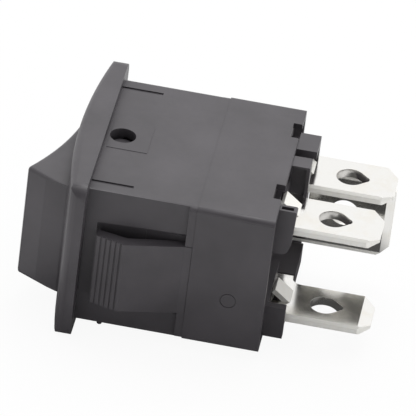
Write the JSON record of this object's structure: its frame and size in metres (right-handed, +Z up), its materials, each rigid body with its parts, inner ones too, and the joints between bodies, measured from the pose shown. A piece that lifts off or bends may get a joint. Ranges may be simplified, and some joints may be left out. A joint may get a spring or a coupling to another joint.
{
  "type": "panel rocker switch",
  "caption": "Snap-in double-pole panel rocker switch with a crowned bezel, side latches, sprung seesaw contacts and push-on tabs.",
  "frame": {"origin": "middle of the bezel's back face, which lies on the panel", "axes": "+X along the bezel towards the raised end of the rocker, +Y back through the panel towards the terminals, +Z up across the two poles and along the rocker's pivot, as the switch lies on its lower long side"},
  "size_m": [0.0212, 0.0297, 0.0146],
  "materials": {
    "housing_nylon": "fine moulded satin",
    "rocker_nylon": "fine moulded satin",
    "plunger_acetal": "smooth satin",
    "spring_steel": "drawn wire",
    "lever_bronze": "rolled strip",
    "contact_silver": "silver alloy, satin",
    "tinned_brass": "bright tin plate over brass"
  },
  "bodies": {
    "housing": {"housing": "housing_nylon", "contact_terminal_upper": "tinned_brass", "contact_terminal_lower": "tinned_brass", "common_terminal_upper": "tinned_brass", "common_terminal_lower": "tinned_brass", "fixed_contact_upper": "contact_silver", "fixed_contact_lower": "contact_silver"},
    "rocker": {"rocker": "rocker_nylon", "spring_upper": "spring_steel", "spring_lower": "spring_steel"},
    "plunger_upper": {"plunger_upper": "plunger_acetal"},
    "plunger_lower": {"plunger_lower": "plunger_acetal"},
    "lever_upper": {"lever_upper": "lever_bronze", "moving_contact_upper": "contact_silver"},
    "lever_lower": {"lever_lower": "lever_bronze", "moving_contact_lower": "contact_silver"}
  },
  "joints": [
    {"name": "rocker_tilt", "type": "hinge", "parent": "housing", "child": "rocker", "pos_m": [0, 0.0013, 0], "axis": [0, 0, 1], "range_deg": [0, 30]},
    {"name": "plunger_upper_slide", "type": "slide", "parent": "rocker", "child": "plunger_upper", "axis": [-0.2588, -0.9659, 0], "range_m": [0, 0.0005], "stiffness_N_per_m": 300, "deforming": ["spring_upper"]},
    {"name": "plunger_lower_slide", "type": "slide", "parent": "rocker", "child": "plunger_lower", "axis": [-0.2588, -0.9659, 0], "range_m": [0, 0.0005], "stiffness_N_per_m": 300, "deforming": ["spring_lower"]},
    {"name": "lever_upper_tilt", "type": "hinge", "parent": "housing", "child": "lever_upper", "pos_m": [0, 0.00946, 0.00295], "axis": [0, 0, 1], "range_deg": [-16, 0]},
    {"name": "lever_lower_tilt", "type": "hinge", "parent": "housing", "child": "lever_lower", "pos_m": [0, 0.00946, -0.00295], "axis": [0, 0, 1], "range_deg": [-16, 0]}
  ],
  "couplings": [
    {"joint": "lever_upper_tilt", "follows": "rocker_tilt", "ratio": -0.53333},
    {"joint": "lever_lower_tilt", "follows": "rocker_tilt", "ratio": -0.53333}
  ]
}
